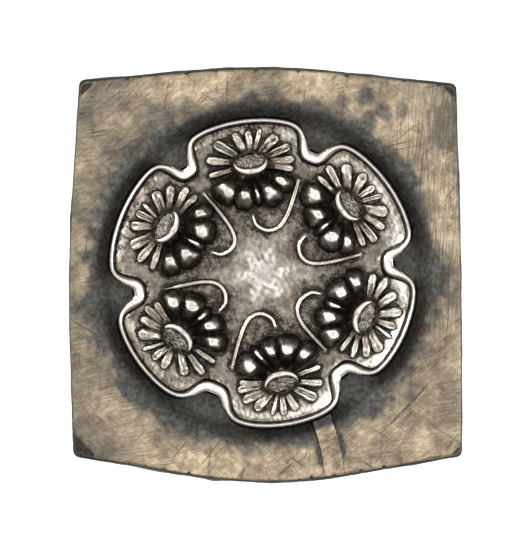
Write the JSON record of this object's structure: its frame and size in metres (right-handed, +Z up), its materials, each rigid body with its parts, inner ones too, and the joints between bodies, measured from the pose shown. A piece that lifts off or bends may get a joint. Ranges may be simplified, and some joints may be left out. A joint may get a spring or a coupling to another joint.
{
  "type": "stamping tool",
  "caption": "Square steel die block with bowed sides, carrying a raised lobed medallion of daisies for pressing the pattern into leather or sheet metal.",
  "frame": {"origin": "centre of the block's overall outline, on the level of its base", "axes": "+Z up, out of the engraved face; +Y towards the face's back edge, along the longer side; +X to the right across the face"},
  "size_m": [0.051, 0.054, 0.0378],
  "materials": {
    "block_steel": "hand-filed steel face with warm brown patina, dark forged sides",
    "relief_steel": "polished steel relief with dark patina in its hollows",
    "seed_steel": "dark stippled steel",
    "screw_steel": "blackened steel"
  },
  "bodies": {
    "root": {"die_block": "block_steel", "relief_plate": "relief_steel", "rim_bead": "relief_steel", "insert_screw": "screw_steel", "flower_1_outer_petals": "relief_steel", "flower_1_inner_petals": "relief_steel", "flower_1_collar": "relief_steel", "flower_1_seed_disc": "seed_steel", "stem_1": "relief_steel", "flower_2_outer_petals": "relief_steel", "flower_2_inner_petals": "relief_steel", "flower_2_collar": "relief_steel", "flower_2_seed_disc": "seed_steel", "stem_2": "relief_steel", "flower_3_outer_petals": "relief_steel", "flower_3_inner_petals": "relief_steel", "flower_3_collar": "relief_steel", "flower_3_seed_disc": "seed_steel", "stem_3": "relief_steel", "flower_4_outer_petals": "relief_steel", "flower_4_inner_petals": "relief_steel", "flower_4_collar": "relief_steel", "flower_4_seed_disc": "seed_steel", "stem_4": "relief_steel", "flower_5_outer_petals": "relief_steel", "flower_5_inner_petals": "relief_steel", "flower_5_collar": "relief_steel", "flower_5_seed_disc": "seed_steel", "stem_5": "relief_steel", "flower_6_outer_petals": "relief_steel", "flower_6_inner_petals": "relief_steel", "flower_6_collar": "relief_steel", "flower_6_seed_disc": "seed_steel", "stem_6": "relief_steel"}
  },
  "joints": []
}
